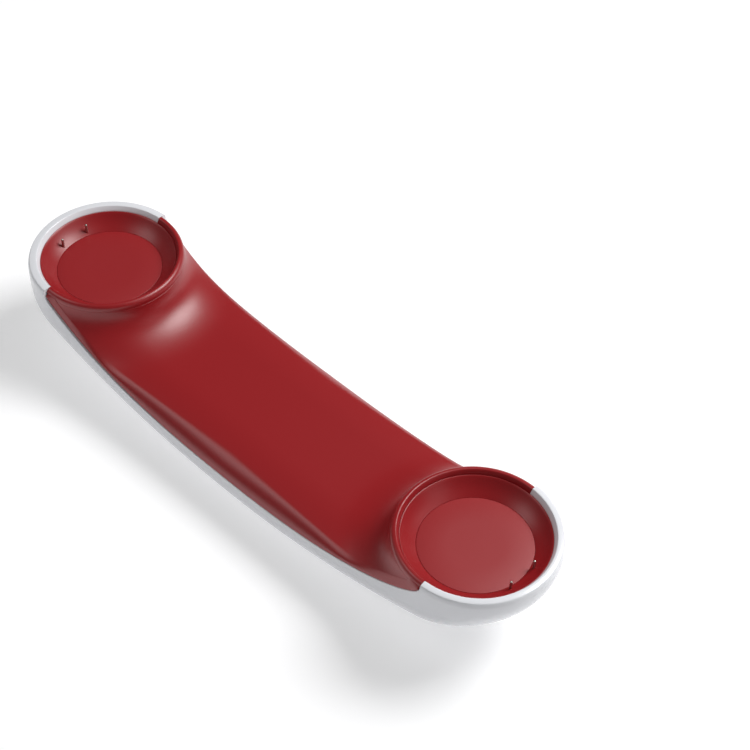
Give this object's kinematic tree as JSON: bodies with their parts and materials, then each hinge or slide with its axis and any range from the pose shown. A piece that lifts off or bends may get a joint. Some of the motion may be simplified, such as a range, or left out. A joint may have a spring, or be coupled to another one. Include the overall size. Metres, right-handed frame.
{
  "type": "electric can opener",
  "caption": "Handset-shaped hand-held electric can opener: white arched back, red scooped grip, shallow round cups at both ends with contact pins, and a push button.",
  "frame": {"origin": "middle of the small flat on the rounded back, which the part lies on with its cups up; in use it is turned over", "axes": "+X from the button end to the drive cup, along the length; +Z out of the cup mouths; +Y across"},
  "size_m": [0.223, 0.0552, 0.0368],
  "materials": {
    "white_abs": "high-gloss moulded",
    "red_abs": "satin moulded",
    "cup_red": "satin moulded",
    "steel": "satin",
    "nickel": "polished",
    "brass": "turned",
    "black_plastic": "moulded",
    "acetal": "moulded",
    "board_green": "solder mask",
    "cell_wrap": "shrink sleeve",
    "lead_red": "PVC"
  },
  "bodies": {
    "housing": {"upper_shell": "white_abs", "grip_shell": "red_abs", "rest_cup_liner": "cup_red", "drive_cup_liner": "cup_red", "rest_disc": "cup_red", "lid_magnet": "steel", "button_guide": "black_plastic", "control_board": "board_green", "tact_switch": "black_plastic", "cell_a": "cell_wrap", "cell_b": "cell_wrap", "cell_cradle": "black_plastic", "gear_plate": "steel", "idler_pin": "steel", "motor_can": "steel", "lead_positive": "lead_red", "lead_negative": "black_plastic", "rest_cup_screw_a": "steel", "rest_pin_sleeve_a": "brass", "rest_cup_screw_b": "steel", "rest_pin_sleeve_b": "brass", "drive_cup_screw_a": "steel", "drive_pin_sleeve_a": "brass", "drive_cup_screw_b": "steel", "drive_pin_sleeve_b": "brass"},
    "button": {"button_cap": "white_abs", "button_spring": "steel"},
    "drive": {"drive_disc": "cup_red", "output_gear": "acetal"},
    "reduction": {"reduction_gear": "acetal"},
    "pinion": {"motor_pinion": "brass"},
    "pin_rest_a": {"rest_contact_pin_a": "nickel"},
    "pin_rest_b": {"rest_contact_pin_b": "nickel"},
    "pin_drive_a": {"drive_contact_pin_a": "nickel"},
    "pin_drive_b": {"drive_contact_pin_b": "nickel"}
  },
  "joints": [
    {"name": "button_press", "type": "slide", "parent": "housing", "child": "button", "axis": [0.2974, 0, 0.9548], "range_m": [0, 0.0015], "stiffness_N_per_m": 400, "deforming": ["button_spring"]},
    {"name": "rest_pin_a_press", "type": "slide", "parent": "housing", "child": "pin_rest_a", "axis": [0, 0, -1], "range_m": [0, 0.0012], "stiffness_N_per_m": 250},
    {"name": "rest_pin_b_press", "type": "slide", "parent": "housing", "child": "pin_rest_b", "axis": [0, 0, -1], "range_m": [0, 0.0012], "stiffness_N_per_m": 250},
    {"name": "drive_pin_a_press", "type": "slide", "parent": "housing", "child": "pin_drive_a", "axis": [0, 0, -1], "range_m": [0, 0.0012], "stiffness_N_per_m": 250},
    {"name": "drive_pin_b_press", "type": "slide", "parent": "housing", "child": "pin_drive_b", "axis": [0, 0, -1], "range_m": [0, 0.0012], "stiffness_N_per_m": 250},
    {"name": "disc_spin", "type": "hinge", "parent": "housing", "child": "drive", "pos_m": [0.08465, 0, 0.0258], "axis": [0, 0, 1], "continuous": true},
    {"name": "reduction_spin", "type": "hinge", "parent": "housing", "child": "reduction", "pos_m": [0.07546, 0.00771, 0.0244], "axis": [0, 0, 1], "continuous": true},
    {"name": "pinion_spin", "type": "hinge", "parent": "housing", "child": "pinion", "pos_m": [0.0689, -0.0001, 0.0229], "axis": [0, 0, 1], "continuous": true}
  ],
  "couplings": [
    {"joint": "reduction_spin", "follows": "disc_spin", "ratio": -3},
    {"joint": "pinion_spin", "follows": "disc_spin", "ratio": 7.2}
  ]
}
